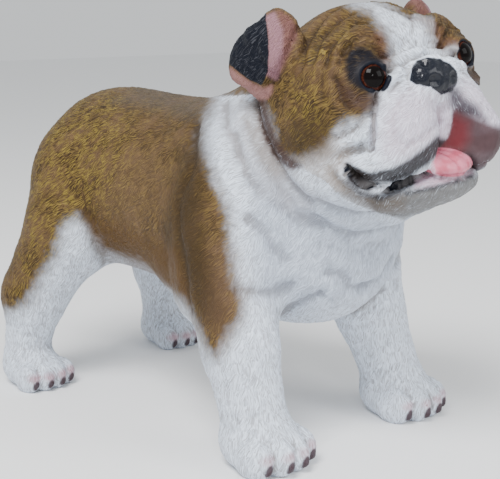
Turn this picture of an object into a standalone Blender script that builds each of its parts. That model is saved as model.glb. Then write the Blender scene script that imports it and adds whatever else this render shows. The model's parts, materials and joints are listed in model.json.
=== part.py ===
"""A standing bulldog puppy, a painted resin garden statue with inset glass eyes.

Metres, +Z up. The dog faces -Y, its left side is +X, and it stands on four flat soles at z = 0.
The figure is laid out in sculptor's units, millimetres of a statue of the nominal size, and is then
stretched to the statue's own height, length and width. The eyes and their sockets keep true sizes.
"""

import math

import bmesh
import bpy
import numpy as np
from mathutils import Matrix, Vector

# Driving dimensions, in metres
STATUE_HEIGHT = 0.348
STATUE_LENGTH = 0.469
STATUE_WIDTH = 0.243
EYE_DIAMETER = 0.023
EYE_FIT_GAP = 0.0004

# The sculptor's model of the nominal statue, in millimetres
NOMINAL_HEIGHT = 348.0
NOMINAL_LENGTH = 469.0
NOMINAL_WIDTH = 243.0
NOMINAL_EYE = 23.0

# How finely the figure is modelled, in millimetres and triangles
CLAY_VOXEL = 3.0
CLAY_TRIANGLES = 8000
EYE_SUBDIVISIONS = 3
BALLS_IN_A_ROLL = 6

# The head's place and its tilt about its own middle, in millimetres and degrees
HEAD_AT = (0.0, -180.0, 282.0)
HEAD_YAW = -9.0
HEAD_PITCH = -7.0
HEAD_ROLL = -6.5
EYE_AT = {-1: (-43.0, -61.5, 8.0), 1: (43.0, -62.0, 12.0)}
EYE_LOOK = {-1: (-0.42, -0.90, 0.08), 1: (0.16, -0.98, 0.10)}

# The stance
PAW_X = 90.0
FRONT_PAW_Y = -163.0
HIND_PAW_Y = {-1: 127.0, 1: 140.0}
FRONT_LEAN = {-1: 0.0, 1: -22.0}
FRONT_PAW_SHIFT = {-1: 0.0, 1: -10.0}


class Volume:
    """A lump of clay, or a scoop out of it: an ellipsoid, or a tapered roll from one point to another."""

    def __init__(self, at, size, blend, turn=None, to=None, frame=None, scoop=False):
        self.at = np.array(at, float)
        self.size = np.array(size, float)
        self.blend = blend
        self.scoop = scoop
        self.to = None if to is None else np.array(to, float)
        self.turn = np.eye(3) if turn is None else turn_matrix(turn)
        if frame is not None:
            middle, lie = frame
            self.at = middle + lie @ self.at
            self.turn = lie @ self.turn
            if to is not None:
                self.to = middle + lie @ self.to

    def reach(self):
        """A ball that holds the volume: its middle and radius."""
        if self.to is None:
            return self.at, self.size.max()
        return (self.at + self.to) / 2, np.linalg.norm(self.to - self.at) / 2 + self.size.max()

    def distance(self, points):
        if self.to is None:
            local = (points - self.at) @ self.turn
            scaled = local / self.size
            near = np.linalg.norm(scaled, axis=1) + 1e-9
            slope = np.linalg.norm(scaled / self.size, axis=1) + 1e-9
            return near * (near - 1) / slope
        run = self.to - self.at
        share = np.clip((points - self.at) @ run / (run @ run), 0, 1)
        radius = self.size[0] + share * (self.size[1] - self.size[0])
        return np.linalg.norm(points - self.at - share[:, None] * run, axis=1) - radius


def turn_matrix(degrees):
    """A turn about X, then Y, then Z, as a 3 x 3 array."""
    x, y, z = (math.radians(a) for a in degrees)
    turned = Matrix.Rotation(z, 3, "Z") @ Matrix.Rotation(y, 3, "Y") @ Matrix.Rotation(x, 3, "X")
    return np.array(turned)


def mirrored(point):
    return (-point[0], point[1], point[2])


def head_frame():
    return np.array(HEAD_AT), turn_matrix((HEAD_PITCH, HEAD_ROLL, HEAD_YAW))


def pair(at, size, blend, turn=None, to=None, frame=None, scoop=False):
    """The same volume on the dog's left side and, mirrored, on its right."""
    left = Volume(at, size, blend, turn, to, frame, scoop)
    turned = None if turn is None else (turn[0], -turn[1], -turn[2])
    right = Volume(mirrored(at), size, blend, turned, None if to is None else mirrored(to), frame, scoop)
    return [left, right]


def torso():
    return [
        Volume((0, -62, 176), (84, 92, 86), 20),
        Volume((0, 20, 184), (80, 100, 81), 30),
        Volume((0, 96, 190), (77, 80, 79), 30),
        Volume((0, -118, 168), (88, 70, 76), 30),
        Volume((0, -146, 150), (58, 46, 52), 25),
        *pair((65, -106, 180), (39, 50, 66), 22, (8, 0, 0)),
        *pair((38, -54, 128), (34, 46, 33), 20),
        *pair((50, 108, 170), (40, 42, 62), 20, (-8, 0, 0)),
        Volume((0, 168, 214), (11, 15, 22), 10, (-25, 0, 0)),
    ]


def neck():
    return [
        Volume((0, -66, 200), (66, 70), 26, to=(0, -150, 246)),
        *pair((52, -112, 218), (28, 34, 44), 16, (20, 0, 0)),
        Volume((80, -114, 194), (36, 44, 56), 20),
        Volume((0, -184, 196), (54, 32, 28), 14),
    ]


def front_leg(side):
    lean = FRONT_LEAN[side]
    x = side * PAW_X + FRONT_PAW_SHIFT[side]
    return [
        Volume((side * 82 + lean * 0.3, -118, 150), (36, 29), 20, to=(side * 90 + lean, -140, 88)),
        Volume((side * 90 + lean, -140, 88), (28, 25), 10, to=(x, -156, 32)),
        Volume((side * 74, -90, 126), (28, 26, 34), 24),
        Volume((x, FRONT_PAW_Y, 16), (31, 33, 22), 12),
        *toes(x, FRONT_PAW_Y - 20, 16.0, 15.0),
    ]


def hind_leg(side):
    x = side * PAW_X
    y = HIND_PAW_Y[side]
    return [
        Volume((side * 70, 100, 140), (38, 30), 20, to=(side * 84, y + 2, 84)),
        Volume((side * 84, y + 2, 84), (26, 20), 12, to=(side * 90, y + 10, 30)),
        Volume((x, y, 14), (25, 33, 18), 12),
        *toes(x, y - 20, 13.0, 12.5),
    ]


def toes(x, y, pitch, radius):
    """Four toes in a shallow arc, the middle two furthest forward."""
    found = []
    for n in range(4):
        across = (n - 1.5) * pitch
        back = 0.014 * across * across
        middle = (x + across, y + back - 2, radius * 0.85)
        found.append(Volume(middle, (radius * 0.72, radius * 1.2, radius), 4))
    return found


def eye_mound(frame, side):
    """The lids and the pouch round one eye, which grow with the glass eye."""
    eye, look = EYE_AT[side], EYE_LOOK[side]
    room = EYE_DIAMETER * 1000 / NOMINAL_EYE

    def lump(across, back, up, along, size, blend, scoop=False):
        at = (
            eye[0] + side * across + along * look[0],
            eye[1] + back + along * look[1],
            eye[2] + up + along * look[2],
        )
        return Volume(at, size, blend, None, None, frame, scoop)

    lid = 14 * room
    mound = 18 * room
    cut = 11.6 * room
    return [
        lump(2, 12, -2, 0, (mound + 1, mound, mound), 7),
        lump(0, 0, 0, 0, (lid, lid, lid), 4),
        lump(0, 0, 0, 14.6 * room, (cut, cut, 11 * room), 1.5, scoop=True),
        lump(7, 8, -21 * room, 0, (17, 14, 9), 5),
    ]


def head():
    frame = head_frame()

    def one(at, size, blend, turn=None, to=None, scoop=False):
        return [Volume(at, size, blend, turn, to, frame, scoop)]

    def two(at, size, blend, turn=None, to=None, scoop=False):
        return pair(at, size, blend, turn, to, frame, scoop)

    skull = [
        *one((0, -4, 5), (70, 60, 57), 16),
        *one((0, 30, -10), (60, 45, 52), 20),
        *two((52, -10, -18), (30, 46, 44), 16),
        *two((50, -34, 8), (27, 25, 30), 12),
        *two((46, -20, -56), (31, 42, 26), 14),
        *two((30, -46, 30), (22, 16, 15), 10),
        *one((0, -46, -14), (48, 30, 30), 10),
    ]
    eyes = []
    for side in (-1, 1):
        eyes += eye_mound(frame, side)
    muzzle = [
        *two((0, -67, 10), (10, 11), 5, to=(30, -62, 4)),
        *two((30, -62, 4), (11, 14), 5, to=(50, -54, -24)),
        *two((54, -60, -26), (7, 8), 4, to=(67, -38, -36)),
        *two((12, -72, -10), (18, 14, 16), 6),
        *two((27, -68, -34), (27, 24, 33), 5),
        *one((37, -72, -46), (22, 22, 25), 6),
        *two((44, -50, -50), (23, 33, 17), 6),
        *one((0, -81, 2), (21.5, 9.5, 13.5), 3, (-18, 0, 0)),
    ]
    mouth = [
        *one((17, -92, -56), (27, 13, 33), 4, (0, 0, -36), scoop=True),
        *one((0, -14, -80), (50, 48, 22), 14),
        *one((0, -46, -80), (44, 46, 15), 4, (-5, 0, 0)),
        *two((65, -46, -51), (5, 6), 3, to=(57, -56, -61), scoop=True),
        *two((57, -56, -61), (6.5, 5.5), 3, to=(35, -78, -66), scoop=True),
        *one((-1, -80, -60), (20.5, 16, 6.5), 2, (24, 6, 0)),
    ]
    return skull + eyes + muzzle + mouth + ear(frame, -1, 1.0) + ear(frame, 1, 0.8)


def ear(frame, side, rise):
    """A rose ear: a band that stands out from the skull, folded back into a hanging flap."""

    def at(x, y, z):
        return side * x, y, 20 + (z - 20) * rise

    def leaf(middle, size, blend, tilt, yaw):
        lying = (size[0], size[1], size[2] * rise)
        return Volume(at(*middle), lying, blend, (tilt, 0, -side * yaw), None, frame)

    return [
        leaf((71, -4, 42), (16, 7, 25), 5, -10, -25),
        leaf((82, 18, 36), (6, 27, 18), 4, -30, 12),
        Volume(at(68, 0, 56), (9, 7), 5, to=at(82, 12, 50), frame=frame),
        Volume(at(82, 34, 26), (8, 7), 4, to=at(72, 22, 8), frame=frame),
        leaf((74, 12, 22), (8, 18, 14), 5, 0, 20),
    ]


def figure():
    volumes = torso() + neck()
    for side in (-1, 1):
        volumes += front_leg(side) + hind_leg(side)
    return volumes + head()


def blended(points, volumes, reach=18.0):
    """The distance from each point to the clay, with every volume run smoothly into those before it."""
    far = 1000.0
    distance = np.full(len(points), far)
    for volume in volumes:
        middle, radius = volume.reach()
        close = np.linalg.norm(points - middle, axis=1) < radius + volume.blend + reach
        here = distance[close]
        there = volume.distance(points[close])
        if volume.scoop:
            mix = np.clip(0.5 + 0.5 * (there + here) / volume.blend, 0, 1)
            distance[close] = -there + (here + there) * mix + volume.blend * mix * (1 - mix)
        else:
            mix = np.clip(0.5 + 0.5 * (there - here) / volume.blend, 0, 1)
            distance[close] = there + (here - there) * mix - volume.blend * mix * (1 - mix)
    return distance


def slope_of(points, volumes, step=0.4):
    """The outward direction of the clay's surface, unit length, and the distance at each point."""
    here = blended(points, volumes)
    slope = np.empty_like(points)
    for axis in range(3):
        moved = points.copy()
        moved[:, axis] += step
        slope[:, axis] = (blended(moved, volumes) - here) / step
    size = np.linalg.norm(slope, axis=1, keepdims=True) + 1e-9
    return slope / size, here / np.clip(size[:, 0], 0.3, 3)


def pull_to_surface(points, volumes, rounds):
    for _ in range(rounds):
        out, distance = slope_of(points, volumes)
        points = points - out * np.clip(distance, -4, 4)[:, None]
    return points


def new_object(name, mesh):
    made = bpy.data.objects.new(name, mesh)
    bpy.context.scene.collection.objects.link(made)
    return made


def rough_clay(volumes):
    """Every ellipsoid as its own closed ball, and every roll as a row of balls, in one mesh."""
    clay = bmesh.new()
    for volume in (v for v in volumes if not v.scoop):
        for share in (0,) if volume.to is None else np.linspace(0, 1, BALLS_IN_A_ROLL):
            ball = bmesh.ops.create_icosphere(clay, subdivisions=3, radius=1)["verts"]
            if volume.to is None:
                shape = Matrix(volume.turn.tolist()) @ Matrix.Diagonal(volume.size)
                middle = volume.at
            else:
                shape = Matrix.Scale(volume.size[0] + share * (volume.size[1] - volume.size[0]), 3)
                middle = volume.at + share * (volume.to - volume.at)
            bmesh.ops.transform(clay, matrix=Matrix.Translation(middle) @ shape.to_4x4(), verts=ball)
    mesh = bpy.data.meshes.new("rough_clay")
    clay.to_mesh(mesh)
    clay.free()
    return mesh


def applied(obj):
    """The object's mesh with its modifiers applied, as a new mesh."""
    bpy.context.view_layer.update()
    graph = bpy.context.evaluated_depsgraph_get()
    return bpy.data.meshes.new_from_object(obj.evaluated_get(graph))


def points_of(mesh):
    found = np.empty(len(mesh.vertices) * 3)
    mesh.vertices.foreach_get("co", found)
    return found.reshape(-1, 3)


def set_points(mesh, points):
    mesh.vertices.foreach_set("co", points.ravel())
    mesh.update()


def even_skin(mesh, voxel):
    """The closed mesh as one skin of even squares."""
    rough = new_object("rough_clay", mesh)
    remesh = rough.modifiers.new("one_skin", "REMESH")
    remesh.mode = "VOXEL"
    remesh.voxel_size = voxel
    skin = applied(rough)
    bpy.data.objects.remove(rough)
    return skin


def smoothed(mesh, factor):
    skin = bmesh.new()
    skin.from_mesh(mesh)
    bmesh.ops.smooth_vert(
        skin, verts=skin.verts, factor=factor, use_axis_x=True, use_axis_y=True, use_axis_z=True
    )
    skin.to_mesh(mesh)
    skin.free()


def modelled(volumes, voxel):
    """The clay as one even skin that follows the blended volumes."""
    mesh = even_skin(rough_clay(volumes), voxel)
    set_points(mesh, pull_to_surface(points_of(mesh), volumes, 8))
    mesh = even_skin(mesh, voxel)
    for _ in range(3):
        set_points(mesh, pull_to_surface(points_of(mesh), volumes, 2))
        smoothed(mesh, 0.5)
    set_points(mesh, pull_to_surface(points_of(mesh), volumes, 1))
    return mesh


def size_share():
    """What stretches the sculptor's millimetres to this statue's metres."""
    return np.array(
        (STATUE_WIDTH / NOMINAL_WIDTH, STATUE_LENGTH / NOMINAL_LENGTH, STATUE_HEIGHT / NOMINAL_HEIGHT)
    )


def flat_soles(mesh):
    """Cuts the paws off flat at z = 0 and closes them."""
    skin = bmesh.new()
    skin.from_mesh(mesh)
    every = [*skin.verts, *skin.edges, *skin.faces]
    cut = bmesh.ops.bisect_plane(
        skin, geom=every, plane_co=(0, 0, 0), plane_no=(0, 0, -1), clear_outer=True
    )
    rims = [piece for piece in cut["geom_cut"] if isinstance(piece, bmesh.types.BMEdge)]
    bmesh.ops.triangle_fill(skin, edges=rims, use_beauty=True, use_dissolve=True)
    bmesh.ops.recalc_face_normals(skin, faces=skin.faces)
    skin.to_mesh(mesh)
    skin.free()


def thinned(mesh, triangles):
    """The same form with about this many triangles, most of them where it bends."""
    full = new_object("full_clay", mesh)
    decimate = full.modifiers.new("fewer_triangles", "DECIMATE")
    decimate.ratio = triangles / sum(len(face.vertices) - 2 for face in mesh.polygons)
    decimate.use_collapse_triangulate = True
    fewer = applied(full)
    bpy.data.objects.remove(full)
    return fewer


def eye_place(side):
    """Where an eye's middle lies on the statue, in metres."""
    middle, lie = head_frame()
    return Vector((middle + lie @ np.array(EYE_AT[side])) * size_share())


def ball(name, diameter, at):
    mesh = bpy.data.meshes.new(name)
    shape = bmesh.new()
    bmesh.ops.create_icosphere(shape, subdivisions=EYE_SUBDIVISIONS, radius=diameter / 2)
    shape.to_mesh(mesh)
    shape.free()
    mesh.shade_smooth()
    made = new_object(name, mesh)
    made.location = at
    return made


def bore_sockets(dog, offset):
    """Hollows a round socket for each eye, with the fitting gap all round it."""
    for side, name in ((-1, "socket_right"), (1, "socket_left")):
        cutter = ball(name, EYE_DIAMETER + 2 * EYE_FIT_GAP, eye_place(side) - offset)
        cutter.display_type = "WIRE"
        cutter.hide_render = True
        bore = dog.modifiers.new(name, "BOOLEAN")
        bore.operation = "DIFFERENCE"
        bore.solver = "EXACT"
        bore.object = cutter


def material(name, colour, roughness, metallic=0.0):
    made = bpy.data.materials.new(name)
    made.use_nodes = True
    shader = made.node_tree.nodes["Principled BSDF"]
    shader.inputs["Base Color"].default_value = (*colour, 1)
    shader.inputs["Roughness"].default_value = roughness
    shader.inputs["Metallic"].default_value = metallic
    made.diffuse_color = (*colour, 1)
    return made


def statue():
    """The cast figure, centred over z = 0, and how far it was moved to get there."""
    mesh = modelled(figure(), CLAY_VOXEL)
    set_points(mesh, points_of(mesh) * size_share())
    mesh = thinned(mesh, CLAY_TRIANGLES)
    flat_soles(mesh)
    points = points_of(mesh)
    middle = (points.min(axis=0) + points.max(axis=0)) / 2
    offset = Vector((middle[0], middle[1], 0))
    set_points(mesh, points - np.array(offset))
    mesh.shade_smooth()
    dog = new_object("bulldog", mesh)
    dog.data.materials.append(material("painted_resin", (0.62, 0.50, 0.36), 0.55))
    return dog, offset


def main():
    for obj in list(bpy.data.objects):
        bpy.data.objects.remove(obj, do_unlink=True)
    dog, offset = statue()
    bore_sockets(dog, offset)
    glass = material("eye_glass", (0.03, 0.015, 0.01), 0.05)
    for side, name in ((-1, "eye_right"), (1, "eye_left")):
        eye = ball(name, EYE_DIAMETER, eye_place(side) - offset)
        eye.data.materials.append(glass)


main()
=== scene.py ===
"""The looks of the bulldog garden statue: cast resin, painted by hand, with inset glass eyes.

The figure is modelled here from the same lumps of clay as its solid, much more finely, and is then
carved and painted. Lengths are the sculptor's millimetres, of a statue of the nominal size, unless a
name says metres. The dog faces -Y, its left side is +X. The folds and the edges of the colours that
the photograph shows are routes in its 500 x 479 frame, laid onto the clay along the camera's rays.
"""

import json
import math

import bmesh
import bpy
import numpy as np
from mathutils import Matrix, Vector
from mathutils.bvhtree import BVHTree
from mathutils.kdtree import KDTree

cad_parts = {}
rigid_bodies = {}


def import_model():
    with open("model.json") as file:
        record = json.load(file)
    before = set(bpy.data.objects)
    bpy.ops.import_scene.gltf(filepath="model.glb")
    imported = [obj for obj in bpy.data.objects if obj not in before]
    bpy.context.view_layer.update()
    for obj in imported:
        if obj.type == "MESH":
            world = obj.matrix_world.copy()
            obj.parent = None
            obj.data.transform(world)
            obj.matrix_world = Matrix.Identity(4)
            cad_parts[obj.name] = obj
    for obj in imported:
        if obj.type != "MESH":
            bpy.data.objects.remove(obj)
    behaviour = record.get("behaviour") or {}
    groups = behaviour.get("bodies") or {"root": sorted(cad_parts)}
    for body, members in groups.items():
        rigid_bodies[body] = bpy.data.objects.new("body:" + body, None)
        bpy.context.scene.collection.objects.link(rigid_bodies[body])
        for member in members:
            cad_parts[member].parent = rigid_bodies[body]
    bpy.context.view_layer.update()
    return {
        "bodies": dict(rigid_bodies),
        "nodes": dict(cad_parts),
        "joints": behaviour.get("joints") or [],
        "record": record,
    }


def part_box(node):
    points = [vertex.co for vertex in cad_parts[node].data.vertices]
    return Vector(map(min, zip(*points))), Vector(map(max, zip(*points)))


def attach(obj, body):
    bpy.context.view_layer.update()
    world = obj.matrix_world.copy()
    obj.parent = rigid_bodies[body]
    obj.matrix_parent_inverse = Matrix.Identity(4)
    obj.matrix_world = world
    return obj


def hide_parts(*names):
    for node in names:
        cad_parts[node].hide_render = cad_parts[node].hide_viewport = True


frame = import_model()

# The sculptor's model of the nominal statue
NOMINAL_SIZE = np.array((243.0, 469.0, 348.0))
HEAD_AT = (0.0, -180.0, 282.0)
HEAD_YAW = -9.0
HEAD_PITCH = -7.0
HEAD_ROLL = -6.5
EYE_AT = {-1: (-43.0, -61.5, 8.0), 1: (43.0, -62.0, 12.0)}
EYE_LOOK = {-1: (-0.42, -0.90, 0.08), 1: (0.16, -0.98, 0.10)}
LID_RADIUS = 14.0
LID_CUT_SIZE = (11.6, 11.6, 11.0)
LID_CUT_AHEAD = 14.6
LID_PAINT_REACH = {-1: 12.8, 1: 11.9}
LID_BARE_REACH = 16.0
PAW_X = 90.0
FRONT_PAW_Y = -163.0
HIND_PAW_Y = {-1: 127.0, 1: 140.0}
FRONT_LEAN = {-1: 0.0, 1: -22.0}
FRONT_PAW_SHIFT = {-1: 0.0, 1: -10.0}
FRONT_TOE_PITCH = 16.0
HIND_TOE_PITCH = 13.0
FAR_EAR_RISE = 0.8

# How finely the figure is modelled. The face, the ears and the paws are divided once more.
ROUGH_VOXEL = 4.5
CLAY_VOXEL = 3.2
BALLS_IN_A_ROLL = 8
FACE_REACH = 88.0
EAR_REACH = 38.0
PAW_REACH = 36.0

# The pressed hair: locks of this size and height, each of strands that are this share of it apart
LOCK_SIZE = 9.0
LOCK_HEIGHT = 0.42
LOCK_SEED = 7
STRAND_SHARE = 0.62
FULL_TURN = 6.283

# The photograph's camera
PHOTO_SIZE = (500, 479)
CAMERA_AT = np.array((-716.0, -755.0, 340.0))
CAMERA_AZIMUTH = -46.0
CAMERA_DOWN = 10.94
FOCAL_PIXELS = 1195.0
SENSOR_WIDTH = 36.0


def turn_matrix(degrees):
    """A turn about X, then Y, then Z, as a 3 x 3 array."""
    x, y, z = (math.radians(a) for a in degrees)
    turned = Matrix.Rotation(z, 3, "Z") @ Matrix.Rotation(y, 3, "Y") @ Matrix.Rotation(x, 3, "X")
    return np.array(turned)


def mirrored(point):
    return (-point[0], point[1], point[2])


HEAD_MIDDLE = np.array(HEAD_AT)
HEAD_LIE = turn_matrix((HEAD_PITCH, HEAD_ROLL, HEAD_YAW))
HEAD = (HEAD_MIDDLE, HEAD_LIE)


class Volume:
    """A lump of clay or a scoop out of it: an ellipsoid, or a tapered roll between two points."""

    def __init__(self, at, size, blend, turn=None, to=None, frame=None, scoop=False):
        self.at = np.array(at, float)
        self.size = np.array(size, float)
        self.blend = blend
        self.scoop = scoop
        self.to = None if to is None else np.array(to, float)
        self.turn = np.eye(3) if turn is None else turn_matrix(turn)
        if frame is not None:
            middle, lie = frame
            self.at = middle + lie @ self.at
            self.turn = lie @ self.turn
            if to is not None:
                self.to = middle + lie @ self.to

    def reach(self):
        """A ball that holds the volume: its middle and radius."""
        if self.to is None:
            return self.at, self.size.max()
        return (self.at + self.to) / 2, np.linalg.norm(self.to - self.at) / 2 + self.size.max()

    def distance(self, points):
        if self.to is None:
            local = (points - self.at) @ self.turn
            scaled = local / self.size
            near = np.linalg.norm(scaled, axis=1) + 1e-9
            slope = np.linalg.norm(scaled / self.size, axis=1) + 1e-9
            return near * (near - 1) / slope
        run = self.to - self.at
        share = np.clip((points - self.at) @ run / (run @ run), 0, 1)
        radius = self.size[0] + share * (self.size[1] - self.size[0])
        return np.linalg.norm(points - self.at - share[:, None] * run, axis=1) - radius


def pair(at, size, blend, turn=None, to=None, frame=None, scoop=False):
    """The same volume on the dog's left side and, mirrored, on its right."""
    left = Volume(at, size, blend, turn, to, frame, scoop)
    turned = None if turn is None else (turn[0], -turn[1], -turn[2])
    across = None if to is None else mirrored(to)
    return [left, Volume(mirrored(at), size, blend, turned, across, frame, scoop)]


def one(at, size, blend, turn=None, to=None, scoop=False):
    """A volume laid out in the head's own frame."""
    return [Volume(at, size, blend, turn, to, HEAD, scoop)]


def two(at, size, blend, turn=None, to=None, scoop=False):
    """A volume in the head's frame and its mirror image there."""
    return pair(at, size, blend, turn, to, HEAD, scoop)


# The clay: the same volumes as the solid's, and the finer ones that only the skin shows
def torso():
    return [
        Volume((0, -62, 176), (84, 92, 86), 20),
        Volume((0, 20, 184), (80, 100, 81), 30),
        Volume((0, 96, 190), (77, 80, 79), 30),
        Volume((0, -118, 168), (88, 70, 76), 30),
        Volume((0, -146, 150), (58, 46, 52), 25),
        *pair((65, -106, 180), (39, 50, 66), 22, (8, 0, 0)),
        *pair((38, -54, 128), (34, 46, 33), 20),
        *pair((50, 108, 170), (40, 42, 62), 20, (-8, 0, 0)),
        Volume((0, 168, 214), (11, 15, 22), 10, (-25, 0, 0)),
    ]


def neck():
    return [
        Volume((0, -66, 200), (66, 70), 26, to=(0, -150, 246)),
        *pair((52, -112, 218), (28, 34, 44), 16, (20, 0, 0)),
        Volume((80, -114, 194), (36, 44, 56), 20),
        Volume((0, -184, 196), (54, 32, 28), 14),
    ]


def front_leg(side):
    lean = FRONT_LEAN[side]
    x = side * PAW_X + FRONT_PAW_SHIFT[side]
    return [
        Volume((side * 82 + lean * 0.3, -118, 150), (36, 29), 20, to=(side * 90 + lean, -140, 88)),
        Volume((side * 90 + lean, -140, 88), (28, 25), 10, to=(x, -156, 32)),
        Volume((side * 74, -90, 126), (28, 26, 34), 24),
        Volume((x, FRONT_PAW_Y, 16), (31, 33, 22), 12),
        *toes(x, FRONT_PAW_Y - 20, FRONT_TOE_PITCH, 15.0),
    ]


def hind_leg(side):
    x = side * PAW_X
    y = HIND_PAW_Y[side]
    return [
        Volume((side * 70, 100, 140), (38, 30), 20, to=(side * 84, y + 2, 84)),
        Volume((side * 84, y + 2, 84), (26, 20), 12, to=(side * 90, y + 10, 30)),
        Volume((x, y, 14), (25, 33, 18), 12),
        *toes(x, y - 20, HIND_TOE_PITCH, 12.5),
    ]


def toe_places(x, y, pitch):
    """Four toes in a shallow arc, the middle two furthest forward."""
    for n in range(4):
        across = (n - 1.5) * pitch
        yield x + across, y + 0.014 * across * across - 2


def toes(x, y, pitch, radius):
    size = (radius * 0.72, radius * 1.2, radius)
    return [Volume((a, b, radius * 0.85), size, 4) for a, b in toe_places(x, y, pitch)]


def skull():
    return [
        *one((0, -4, 5), (70, 60, 57), 16),
        *one((0, 30, -10), (60, 45, 52), 20),
        *two((52, -10, -18), (30, 46, 44), 16),
        *two((50, -34, 8), (27, 25, 30), 12),
        *two((46, -20, -56), (31, 42, 26), 14),
        *two((30, -46, 30), (22, 16, 15), 10),
        *one((0, -46, -14), (48, 30, 30), 10),
    ]


def beside_eye(side, across, back, up, along=0.0):
    """A place in the head's frame, so far outwards, back and up from an eye, and along its gaze."""
    eye, look = EYE_AT[side], EYE_LOOK[side]
    return (
        eye[0] + side * across + along * look[0],
        eye[1] + back + along * look[1],
        eye[2] + up + along * look[2],
    )


def eye_mounds():
    found = []
    for side in (-1, 1):
        found += one(beside_eye(side, 2, 12, -2), (19, 18, 18), 7)
        found += one(EYE_AT[side], (LID_RADIUS, LID_RADIUS, LID_RADIUS), 4)
        found += one(beside_eye(side, 0, 0, 0, LID_CUT_AHEAD), LID_CUT_SIZE, 1.5, scoop=True)
        found += one(beside_eye(side, 7, 8, -21), (17, 14, 9), 5)
    return found


NOSE = Volume((0, -81, 2), (21.5, 9.5, 13.5), 3, (-18, 0, 0), None, HEAD)
TONGUE = Volume((-1, -80, -60), (20.5, 16, 6.5), 2, (24, 6, 0), None, HEAD)
INNER_LIP = Volume((17, -92, -56), (27, 13, 33), 4, (0, 0, -36), None, HEAD, True)
LIP_GAPS = [
    *two((65, -46, -51), (5, 6), 3, to=(57, -56, -61), scoop=True),
    *two((57, -56, -61), (6.5, 5.5), 3, to=(35, -78, -66), scoop=True),
]


def muzzle():
    return [
        *two((0, -67, 10), (10, 11), 5, to=(30, -62, 4)),
        *two((30, -62, 4), (11, 14), 5, to=(50, -54, -24)),
        *two((54, -60, -26), (7, 8), 4, to=(67, -38, -36)),
        *two((12, -72, -10), (18, 14, 16), 6),
        *two((27, -68, -34), (27, 24, 33), 5),
        *one((37, -72, -46), (22, 22, 25), 6),
        *two((44, -50, -50), (23, 33, 17), 6),
        NOSE,
    ]


def mouth():
    return [
        INNER_LIP,
        *one((0, -14, -80), (50, 48, 22), 14),
        *one((0, -46, -80), (44, 46, 15), 4, (-5, 0, 0)),
        *LIP_GAPS,
        TONGUE,
    ]


def ear(side, rise):
    """A rose ear: a band that stands out from the skull, folded back into a hanging flap."""

    def at(x, y, z):
        return side * x, y, 20 + (z - 20) * rise

    def leaf(middle, size, blend, tilt, yaw):
        lying = (size[0], size[1], size[2] * rise)
        return Volume(at(*middle), lying, blend, (tilt, 0, -side * yaw), None, HEAD)

    return [
        leaf((71, -4, 42), (16, 7, 25), 5, -10, -25),
        leaf((82, 18, 36), (6, 27, 18), 4, -30, 12),
        Volume(at(68, 0, 56), (9, 7), 5, to=at(82, 12, 50), frame=HEAD),
        Volume(at(82, 34, 26), (8, 7), 4, to=at(72, 22, 8), frame=HEAD),
        leaf((74, 12, 22), (8, 18, 14), 5, 0, 20),
    ]


def figure():
    volumes = torso() + neck()
    for side in (-1, 1):
        volumes += front_leg(side) + hind_leg(side)
    return volumes + skull() + eye_mounds() + muzzle() + mouth() + ear(-1, 1.0) + ear(1, FAR_EAR_RISE)


def close_points(points, volumes, reach=18.0):
    """For each volume, the points that it can reach."""
    found = []
    for volume in volumes:
        middle, radius = volume.reach()
        limit = radius + volume.blend + reach
        found.append(np.flatnonzero(np.linalg.norm(points - middle, axis=1) < limit))
    return found


def blended(points, volumes, close):
    """The distance from each point to the clay, with every volume run smoothly into those before it."""
    distance = np.full(len(points), 1000.0)
    for volume, near in zip(volumes, close):
        here = distance[near]
        there = volume.distance(points[near])
        if volume.scoop:
            mix = np.clip(0.5 + 0.5 * (there + here) / volume.blend, 0, 1)
            distance[near] = -there + (here + there) * mix + volume.blend * mix * (1 - mix)
        else:
            mix = np.clip(0.5 + 0.5 * (there - here) / volume.blend, 0, 1)
            distance[near] = there + (here - there) * mix - volume.blend * mix * (1 - mix)
    return distance


def slope_of(points, volumes, step=0.4):
    """The outward direction of the clay's surface, unit length, and the distance at each point."""
    close = close_points(points, volumes)
    here = blended(points, volumes, close)
    slope = np.empty_like(points)
    for axis in range(3):
        moved = points.copy()
        moved[:, axis] += step
        slope[:, axis] = (blended(moved, volumes, close) - here) / step
    size = np.linalg.norm(slope, axis=1, keepdims=True) + 1e-9
    return slope / size, here / np.clip(size[:, 0], 0.3, 3)


def pull_to_surface(points, volumes, rounds):
    for _ in range(rounds):
        out, distance = slope_of(points, volumes)
        points = points - out * np.clip(distance, -4, 4)[:, None]
    return points


# Meshes
def new_object(name, mesh):
    made = bpy.data.objects.new(name, mesh)
    bpy.context.scene.collection.objects.link(made)
    return made


def points_of(mesh):
    found = np.empty(len(mesh.vertices) * 3)
    mesh.vertices.foreach_get("co", found)
    return found.reshape(-1, 3)


def set_points(mesh, points):
    mesh.vertices.foreach_set("co", points.ravel())
    mesh.update()


def rough_clay(volumes):
    """Every ellipsoid as its own closed ball, and every roll as a row of balls, in one mesh."""
    clay = bmesh.new()
    for volume in (v for v in volumes if not v.scoop):
        for share in (0,) if volume.to is None else np.linspace(0, 1, BALLS_IN_A_ROLL):
            ball = bmesh.ops.create_icosphere(clay, subdivisions=3, radius=1)["verts"]
            if volume.to is None:
                shape = Matrix(volume.turn.tolist()) @ Matrix.Diagonal(volume.size)
                middle = volume.at
            else:
                shape = Matrix.Scale(volume.size[0] + share * (volume.size[1] - volume.size[0]), 3)
                middle = volume.at + share * (volume.to - volume.at)
            bmesh.ops.transform(clay, matrix=Matrix.Translation(middle) @ shape.to_4x4(), verts=ball)
    mesh = bpy.data.meshes.new("rough_clay")
    clay.to_mesh(mesh)
    clay.free()
    return mesh


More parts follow.
